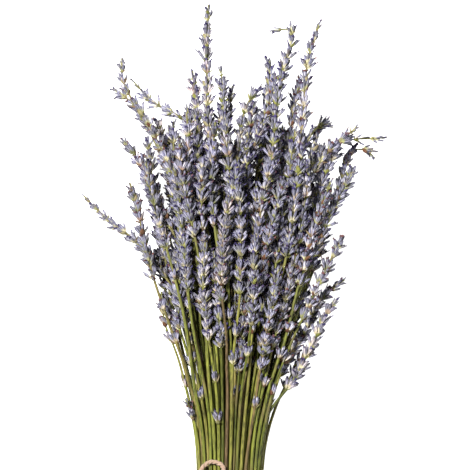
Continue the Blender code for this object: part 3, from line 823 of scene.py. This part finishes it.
def add_flowers(mesh, templates, sprig, read, rng, sprig_tone, whorl_tint):
    """The whorls of calyces up a sprig, with a pair of bracts under each and some dry petals."""
    rows = []
    bracts = []
    turn = rng.uniform(0, 2 * math.pi)
    for below, size in whorl_places(sprig, rng):
        lone = below > sprig.spike
        sparse = SPARSE_SHARE if lone or rng.random() < SPARSE_CHANCE else 1.0
        wanted = part_way(*CALYX_COUNTS, size)
        count = max(2, round(wanted * sprig.fullness * sparse + rng.uniform(-1.2, 1.2)))
        palest = part_way(YOUNG_TONE, 1, size)
        whorl_tone = rng.uniform(0.6, 1.0) if lone else rng.random() * palest
        grown = part_way(YOUNG_SIZE, 1, size) * part_way(THIN_SIZE, 1, sprig.fullness)
        upright = part_way(0.5, 1, size) * (LONE_TILT_SHARE if lone else 1.0)
        scatter = LONE_SCATTER_SHARE if lone else 1.0
        for k in range(count):
            inner = k % 3 == 2
            tilt = math.radians(rng.uniform(*(INNER_TILTS if inner else OUTER_TILTS)) * upright)
            angle = turn + 2 * math.pi * k / count + rng.uniform(-ANGLE_JITTER, ANGLE_JITTER)
            lift = rng.gauss(INNER_LIFT if inner else 0.0, SCATTER_ALONG) * scatter
            length = CALYX_LENGTH * grown * rng.uniform(*LENGTH_JITTER)
            width = CALYX_RADIUS * grown * rng.uniform(*RADIUS_JITTER)
            own = rng.random() * palest
            rows.append((below, angle, tilt, lift, length, width, own, whorl_tone, rng.random()))
        turn += math.pi / 4 + rng.uniform(-0.2, 0.2)
        for k in range(2):
            angle = turn + math.pi * k + rng.uniform(-0.3, 0.3)
            scale = grown * rng.uniform(*BRACT_SIZES)
            tilt = math.radians(rng.uniform(*BRACT_TILTS))
            bracts.append((below, angle, tilt, scale, rng.random()))
    below, angle, tilt, lift, length, width, own, whorl, kind = np.array(rows).T
    off = CALYX_FOOT_SHARE * stem_radius(below, sprig.spike)
    axes = on_stem(read, below, angle, tilt, off, lift)
    size = np.column_stack([width, width * CALYX_FLATNESS, length])
    tones = np.column_stack([own, np.full(len(own), sprig_tone), whorl])
    closed = kind < CLOSED_CHANCE
    for name, chosen in (("closed", closed), ("open", ~closed)):
        picked = [part[chosen] for part in axes]
        mesh.add_copies(templates[name], picked, size[chosen], tones[chosen], CALYX)
    withered = kind > 1 - PETAL_CHANCE
    base, outward, across, along = [part[withered] for part in axes]
    base = base + along * (PETAL_FOOT_SHARE * length[withered])[:, None]
    petal = np.column_stack([width, width, length])[withered] * PETAL_SIZE
    tones[:, 0] = part_way(own, whorl_tint, PETAL_SPRIG_SHARE)
    mesh.add_copies(templates["petal"], (base, outward, across, along), petal, tones[withered], PETAL)
    below, angle, tilt, scale, own = np.array(bracts).T
    off = BRACT_FOOT_SHARE * stem_radius(below, sprig.spike)
    axes = on_stem(read, below, angle, tilt, off, np.full(len(below), BRACT_LIFT))
    size = scale[:, None] * (BRACT_RADIUS, BRACT_RADIUS, BRACT_LENGTH)
    tones = np.column_stack([own, np.full((len(own), 2), (sprig_tone, whorl_tint))])
    mesh.add_copies(templates["bract"], axes, size, tones, BRACT)


def add_sprigs(materials):
    """One piece for each sprig; those with a solid of their own stand for it."""
    templates = make_templates()
    sprigs = make_sprigs()
    lines = centrelines(sprigs)
    solid_number = 0
    for number, (sprig, line) in enumerate(zip(sprigs, lines), start=1):
        rng = random.Random(SEED * 1000 + number)
        length, read = smooth_line(line)
        sprig_tone = rng.random()
        whorl_tint = rng.random()
        mesh = Gathered()
        add_stem(mesh, sprig, length, read, (rng.random(), sprig_tone, whorl_tint))
        add_flowers(mesh, templates, sprig, read, rng, sprig_tone, whorl_tint)
        piece = mesh.make(f"lavender_{number:03d}", materials)
        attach(piece, "root")
        if sprig.solid:
            solid_number += 1
            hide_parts(f"sprig_{solid_number:02d}")


# ---- the twine ----


def carried_axes(points):
    """Two axes across a path at each of its points, carried along it without turning."""
    run = np.gradient(points, axis=0)
    forward = run / np.linalg.norm(run, axis=1, keepdims=True)
    side = np.cross(forward[0], (0.0, 0.0, 1.0))
    sides = []
    for direction in forward:
        side = side - direction * np.dot(side, direction)
        side = side / np.linalg.norm(side)
        sides.append(side)
    sides = np.array(sides)
    return forward, sides, np.cross(sides, forward)


def strand_outline(angle):
    """The radius, as a share, of strands laid together, at an angle round them."""
    sector = 2 * math.pi / STRANDS
    off = (angle + sector / 2) % sector - sector / 2
    return 0.5 * np.cos(off) + np.sqrt(np.clip(0.25 - 0.25 * np.sin(off) ** 2, 0, None))


def add_twine_run(mesh, points, radius, rng, frayed=False):
    """A run of twisted twine along the points, with fibres that stand off it. Its end may be frayed."""
    along, line = evenly(np.array(points), TWINE_STEP)
    forward, side, up = carried_axes(line)
    angle = even_angles(TWINE_SIDES)
    uneven = 1 + UNEVENNESS * np.sin(along / UNEVEN_LENGTH)
    before_end = along[-1] - along
    ends = np.clip(END_SHARE + along / END_REACH, 0, 1)
    if frayed:
        ends *= 1 + FRAY_SWELL * np.exp(-before_end / FRAY_REACH)
    else:
        ends *= np.clip(END_SHARE + before_end / END_REACH, 0, 1)
    turn = angle + (2 * math.pi * along / STRAND_TURN)[:, None]
    reach = radius * strand_outline(angle) * uneven[:, None] * ends[:, None]
    skin = line[:, None] + reach[..., None] * between(turn, side[:, None], up[:, None])
    mesh.add_tube(line, skin, along, (rng.random(), rng.random(), rng.random()))
    for k in range(int(along[-1] * FIBRES_PER_METRE)):
        where = rng.randrange(len(line))
        add_fibre(mesh, line[where], forward[where], side[where], up[where], radius, rng)
    for k in range(FRAY_FIBRES * frayed):
        add_fibre(mesh, line[-1], forward[-1], side[-1], up[-1], radius, rng, loose=True)


def add_fibre(mesh, point, forward, side, up, radius, rng, loose=False):
    """A hair-thin curved fibre, one end in the twine. A loose one stands out of the twine's end."""
    turn = rng.uniform(0, 2 * math.pi)
    radial = between(turn, side, up)
    across = np.cross(forward, radial)
    length = rng.uniform(*(LOOSE_FIBRE_LENGTHS if loose else FIBRE_LENGTHS))
    reach = rng.uniform(*FIBRE_REACHES)
    start = point + radial * radius * (rng.uniform(0, 0.7) if loose else 0.8)
    lean = rng.uniform(-1, 1)
    steps = np.linspace(0, 1, FIBRE_RINGS)[:, None]
    if loose:
        line = start + forward * length * steps + (radial + across * lean) * reach * steps**2
    else:
        rise = radial * reach * np.sin(steps * 2.2)
        line = start + forward * length * lean * steps + rise + across * reach * steps * lean
    line[:, 2] = np.maximum(line[:, 2], FIBRE_LOWEST)
    thick = FIBRE_RADIUS * (1.2 - 0.8 * steps)
    skin = line[:, None] + thick[:, :, None] * between(even_angles(FIBRE_SIDES), across, radial)
    mesh.add_tube(line, skin, np.linspace(0, length, FIBRE_RINGS), (rng.random(), 0.5, 0.5))


def knot_runs():
    """The runs of twine that make the bow's knot: a band round it, and two runs that it holds."""
    low, high = (np.array(corner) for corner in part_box("twine_knot"))
    middle = (low + high) / 2
    half = (high - low) / 2
    radius = KNOT_TWINE_SHARE * TWINE_RADIUS
    turns = np.linspace(-0.15, 1.2, 26) * 2 * math.pi
    band = between(turns, (0, half[1] - radius, 0), (0, 0, half[2] - radius))
    band[:, 0] = -0.0014 + 0.0022 * (turns / (2.4 * math.pi))
    reach = half[0] - 0.0002
    upper = [(-reach, 0.0012, -0.0004), (-0.002, 0.0008, 0.0006)]
    upper += [(0.002, -0.0006, 0.0006), (reach, -0.0012, -0.0004)]
    lower = [(-reach, -0.0014, -0.0012), (-0.002, -0.0006, -0.0014)]
    lower += [(0.002, 0.0006, -0.0014), (reach, 0.0014, -0.0012)]
    return [np.array(run) + middle for run in (band, upper, lower)], radius


def add_twine_piece(name, node, runs, radius, material, rng, frayed=False):
    mesh = Gathered()
    for points in runs:
        add_twine_run(mesh, points, radius, rng, frayed)
    piece = mesh.make(name, [material])
    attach(piece, "root")
    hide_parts(node)
    return piece


def add_twine(material):
    """The wrap, the knot, and the bow's loops and tails, which are the free cords."""
    rng = random.Random(SEED)
    add_twine_piece("twine_wrap_turns", "twine_wrap", [wrap_points()], TWINE_RADIUS, material, rng)
    runs, radius = knot_runs()
    add_twine_piece("twine_bow_knot", "twine_knot", runs, radius, material, rng)
    for node, (route, ends_up) in BOW_ROUTES.items():
        points = lay_on_stems(route, ends_up)
        name = node.replace("twine_", "bow_")
        piece = add_twine_piece(name, node, [points], TWINE_RADIUS, material, rng, not ends_up)


# ---- materials ----


class Surface:
    """A material's node tree, with the facts that the meshes carry.

    around and along are the coordinates on the surface; own, sprig and whorl are the three tones.
    """

    def __init__(self, name):
        self.material = bpy.data.materials.new(name)
        self.material.use_nodes = True
        self.tree = self.material.node_tree
        self.shader = self.tree.nodes["Principled BSDF"]
        uv = self.node("ShaderNodeUVMap", uv_map="Surface")
        parts = self.node("ShaderNodeSeparateXYZ", {"Vector": uv.outputs["UV"]})
        self.around, self.along = parts.outputs["X"], parts.outputs["Y"]
        tone = self.node("ShaderNodeAttribute", attribute_name="tone")
        tones = self.node("ShaderNodeSeparateColor", {"Color": tone.outputs["Color"]})
        self.own, self.sprig, self.whorl = (tones.outputs[k] for k in ("Red", "Green", "Blue"))

    def feed(self, node, inputs):
        """Gives inputs their values, or links them to other nodes' outputs."""
        for name, value in inputs.items():
            if isinstance(value, bpy.types.NodeSocket):
                self.tree.links.new(value, node.inputs[name])
            else:
                node.inputs[name].default_value = value

    def node(self, kind, inputs=None, **settings):
        made = self.tree.nodes.new(kind)
        for name, value in settings.items():
            setattr(made, name, value)
        self.feed(made, inputs or {})
        return made

    def reckon(self, operation, *values):
        made = self.node("ShaderNodeMath", operation=operation)
        self.feed(made, dict(enumerate(values)))
        return made.outputs[0]

    def span(self, value, low, high, to_low=0.0, to_high=1.0):
        """Takes low to to_low and high to to_high, and holds those beyond them."""
        inputs = {"Value": value, "From Min": low, "From Max": high, "To Min": to_low, "To Max": to_high}
        return self.node("ShaderNodeMapRange", inputs).outputs["Result"]

    def noise(self, scale, detail=3.0, stretch=(1.0, 1.0, 1.0)):
        """Noise fixed in the object, stretched along its axes."""
        spot = self.node("ShaderNodeTexCoord").outputs["Object"]
        mapping = self.node("ShaderNodeMapping", {"Vector": spot, "Scale": stretch})
        inputs = {"Vector": mapping.outputs["Vector"], "Scale": scale, "Detail": detail}
        return self.node("ShaderNodeTexNoise", inputs).outputs["Fac"]

    def colours(self, factor, *stops):
        """A colour ramp whose stops are (place, red, green, blue)."""
        made = self.node("ShaderNodeValToRGB", {"Fac": factor})
        elements = made.color_ramp.elements
        while len(elements) < len(stops):
            elements.new(0.5)
        for element, (place, *colour) in zip(elements, stops):
            element.position = place
            element.color = (*colour, 1.0)
        return made.outputs["Color"]

    def mix(self, factor, first, second, blend="MIX"):
        made = self.node("ShaderNodeMix", data_type="RGBA", blend_type=blend)
        first, second = ((*c, 1.0) if isinstance(c, tuple) else c for c in (first, second))
        self.feed(made, {0: factor, 6: first, 7: second})
        return made.outputs[2]

    def times(self, first, second):
        return self.mix(1.0, first, second, "MULTIPLY")

    def finish(self, colour, grain, smoothest, roughest, height, depth, sheen=0.0):
        """The finished material: roughness goes by the grain, and the bump by the height."""
        bump = self.node("ShaderNodeBump", {"Height": height, "Distance": depth, "Strength": 1.0})
        inputs = {"Base Color": colour, "Normal": bump.outputs["Normal"], "Sheen Weight": sheen}
        inputs["Roughness"] = self.span(grain, 0.0, 1.0, smoothest, roughest)
        self.feed(self.shader, inputs)
        return self.material


def calyx_material():
    """Papery, ribbed and downy: pale green at the foot, lavender grey, darker at the mouth, with painted
    shade in the grooves between the ribs and a painted highlight on their pale crests.
    """
    s = Surface("calyx")
    wave = s.reckon("COSINE", s.reckon("MULTIPLY", s.around, 2 * math.pi * CALYX_RIBS))
    rib = s.reckon("MULTIPLY_ADD", wave, 0.5, 0.5)
    body = s.colours(
        s.own,
        (0, 0.15, 0.065, 0.04), (0.07, 0.016, 0.016, 0.062), (0.28, 0.026, 0.026, 0.115),
        (0.48, 0.075, 0.075, 0.23), (0.7, 0.27, 0.265, 0.44), (1, 0.84, 0.81, 0.79),
    )
    by_sprig = s.colours(
        s.sprig,
        (0, 0.42, 0.43, 0.64), (0.35, 0.8, 0.82, 0.98), (0.65, 1.12, 1.12, 1.12),
        (0.88, 1.3, 1.2, 1.02), (1, 1.12, 0.8, 0.7),
    )
    by_whorl = s.colours(s.whorl, (0, 0.55, 0.55, 0.66), (0.55, 0.98, 0.98, 1), (1, 1.5, 1.45, 1.32))
    body = s.times(s.times(body, by_sprig), by_whorl)
    # Painted shade: the colour is darkened in the grooves between the ribs, where the bump sinks.
    groove_painted_shade = s.times(body, (0.14, 0.14, 0.26))
    # Painted highlight: the rib crests are paler and downy in their own colour, and are whitened further
    # where the bump rises.
    pale_rib_and_highlight = s.mix(0.36, body, (0.98, 0.96, 0.99))
    ribbed = s.mix(rib, groove_painted_shade, pale_rib_and_highlight)
    foot = s.colours(
        s.whorl,
        (0, 0.15, 0.165, 0.045), (0.3, 0.43, 0.43, 0.14), (0.62, 0.8, 0.73, 0.46),
        (0.9, 0.8, 0.69, 0.5), (1, 0.35, 0.19, 0.11),
    )
    wander = s.reckon("MULTIPLY", s.reckon("SUBTRACT", s.noise(900.0), 0.5), 0.5)
    mottled = s.reckon("ADD", s.along, wander)
    coloured = s.mix(s.span(mottled, 0.22, 0.52), foot, ribbed)
    coloured = s.mix(s.span(mottled, 0.74, 1.0, 0.0, 0.75), coloured, (0.035, 0.03, 0.075))
    fine = s.noise(2600.0, 4.0)
    height = s.reckon("ADD", s.reckon("MULTIPLY", rib, 0.8), s.reckon("MULTIPLY", fine, 0.5))
    s.feed(s.shader, {"Sheen Roughness": 0.45})
    return s.finish(coloured, fine, 0.62, 0.92, height, 0.00014, sheen=0.25)


def stem_material():
    """Straw-like: olive to yellow green, some tan or brown, with streaks of grain along it whose dark
    parts are painted shade in the grooves.
    """
    s = Surface("stem")
    colour = s.colours(
        s.own,
        (0, 0.06, 0.068, 0.009), (0.3, 0.115, 0.132, 0.014), (0.6, 0.19, 0.208, 0.028),
        (0.8, 0.19, 0.172, 0.034), (0.92, 0.15, 0.098, 0.04), (1, 0.07, 0.042, 0.02),
    )
    streak = s.noise(1500.0, 4.0, (1.0, 0.035, 1.0))
    patch = s.noise(120.0, 3.0, (1.0, 0.3, 1.0))
    # Painted shade: the streaks darken the colour where the bump sinks into grooves, and lighten it on
    # the ridges.
    coloured = s.times(colour, s.span(streak, 0.35, 0.62, 0.34, 1.5))
    coloured = s.mix(s.span(patch, 0.52, 0.7, 0.0, 0.55), coloured, (0.24, 0.165, 0.075))
    coloured = s.mix(s.span(s.along, 0.2, 0.3, 0.0, 0.6), coloured, (0.185, 0.168, 0.07))
    return s.finish(coloured, streak, 0.48, 0.78, streak, 0.00008)


def cut_material():
    """The pale pith of a cut end."""
    s = Surface("cut_end")
    pith = s.colours(s.noise(3000.0, 4.0), (0.35, 0.3, 0.24, 0.12), (0.6, 0.62, 0.56, 0.36))
    s.feed(s.shader, {"Base Color": pith, "Roughness": 0.85})
    return s.material


def bract_material():
    """Papery bracts: yellow green with fine veins on most sprigs, rusty brown on others."""
    s = Surface("bract")
    kind = s.reckon("ADD", s.reckon("MULTIPLY", s.own, 0.45), s.reckon("MULTIPLY", s.whorl, 0.55))
    colour = s.colours(
        kind,
        (0, 0.2, 0.225, 0.05), (0.35, 0.38, 0.4, 0.09), (0.56, 0.48, 0.42, 0.24),
        (0.74, 0.225, 0.088, 0.044), (1, 0.11, 0.05, 0.032),
    )
    vein = s.reckon("COSINE", s.reckon("MULTIPLY", s.around, 2 * math.pi * BRACT_VEINS))
    coloured = s.mix(s.reckon("MULTIPLY_ADD", vein, 0.12, 0.18), colour, (0.1, 0.07, 0.03))
    coloured = s.mix(s.span(s.along, 0.6, 1.0, 0.0, 0.7), coloured, (0.2, 0.11, 0.06))
    return s.finish(coloured, s.noise(1800.0), 0.55, 0.85, vein, 0.00005)


def petal_material():
    """Dried petals, from deep violet blue to a dark brownish violet and rust."""
    s = Surface("petal")
    colour = s.colours(
        s.own,
        (0, 0.04, 0.034, 0.13), (0.5, 0.09, 0.07, 0.23), (0.66, 0.12, 0.06, 0.09),
        (0.78, 0.3, 0.11, 0.055), (1, 0.21, 0.085, 0.05),
    )
    crease = s.noise(2200.0)
    return s.finish(s.mix(crease, colour, (0.04, 0.03, 0.08)), crease, 0.5, 0.8, crease, 0.00012)


def twine_material():
    """Natural jute: pinkish tan, with fibres that run aslant along each strand."""
    s = Surface("jute")
    across = s.reckon("MULTIPLY", s.around, 24.0)
    down = s.reckon("MULTIPLY", s.along, 900.0)
    aslant = s.reckon("ADD", across, s.reckon("MULTIPLY", down, 0.35))
    laid = s.node("ShaderNodeCombineXYZ", {"X": aslant, "Y": s.reckon("MULTIPLY", down, 0.22)})
    inputs = {"Vector": laid.outputs["Vector"], "Scale": 1.0, "Detail": 5.0, "Roughness": 0.65}
    fibre = s.node("ShaderNodeTexNoise", inputs).outputs["Fac"]
    colour = s.colours(
        fibre, (0.25, 0.15, 0.085, 0.05), (0.5, 0.4, 0.265, 0.18), (0.75, 0.6, 0.45, 0.345)
    )
    blotch = s.reckon("MULTIPLY", s.noise(260.0), 0.35)
    coloured = s.mix(blotch, colour, (0.52, 0.385, 0.3))
    return s.finish(coloured, fibre, 0.95, 0.7, fibre, 0.00018, sheen=0.3)


# ---- the stage ----


def add_area_light(name, place, size, power, colour):
    light = bpy.data.lights.new(name, "AREA")
    light.size = size
    light.energy = power
    light.color = colour
    lamp = add_to_scene(name, light, place)
    aim = Vector((VIEW_CENTRE[0], VIEW_CENTRE[1], LAMP_TARGET_HEIGHT)) - Vector(place)
    lamp.rotation_euler = aim.to_track_quat("-Z", "Y").to_euler()
    lamp.visible_camera = False


def add_stage():
    """A pale floor, two lamps, a faint sky, and a light that reaches only the floor."""
    mesh = bpy.data.meshes.new("floor")
    corners = [(x * FLOOR_REACH, y * FLOOR_REACH, 0) for x, y in ((-1, -1), (1, -1), (1, 1), (-1, 1))]
    mesh.from_pydata(corners, [], [(0, 1, 2, 3)])
    material = bpy.data.materials.new("floor")
    material.use_nodes = True
    shader = material.node_tree.nodes["Principled BSDF"]
    shader.inputs["Base Color"].default_value = FLOOR_COLOUR
    shader.inputs["Roughness"].default_value = FLOOR_ROUGHNESS
    mesh.materials.append(material)
    floor = add_to_scene("floor", mesh, (0, 0, FLOOR_HEIGHT))
    world = bpy.data.worlds.new("studio")
    world.use_nodes = True
    background = world.node_tree.nodes["Background"]
    background.inputs["Color"].default_value = (1.0, 1.0, 1.0, 1.0)
    background.inputs["Strength"].default_value = SKY_STRENGTH
    bpy.context.scene.world = world
    add_area_light("key", (-0.5, 0.46, 1.25), 0.2, 38.0, (1.0, 0.985, 0.96))
    add_area_light("fill", (0.7, -0.25, 1.15), 0.5, 3.2, (0.94, 0.97, 1.0))
    sun = bpy.data.lights.new("backdrop", "SUN")
    sun.energy = BACKDROP_POWER
    sun.use_shadow = False
    sun.cycles.max_bounces = 0
    backdrop = add_to_scene("backdrop", sun, (0, 0, 0))
    lit = bpy.data.collections.new("lit_by_backdrop")
    lit.objects.link(floor)
    backdrop.light_linking.receiver_collection = lit
    bpy.context.scene.view_settings.view_transform = "Standard"


def add_camera():
    lens = bpy.data.cameras.new("camera")
    lens.lens = LENS_MM
    lens.sensor_width = SENSOR_MM
    distance = VIEW_WIDTH * LENS_MM / SENSOR_MM
    place = (VIEW_CENTRE[0], VIEW_CENTRE[1], VIEW_CENTRE[2] + distance)
    bpy.context.scene.camera = add_to_scene("camera", lens, place)


add_camera()
add_twine(twine_material())
add_sprigs([stem_material(), cut_material(), calyx_material(), bract_material(), petal_material()])
add_stage()
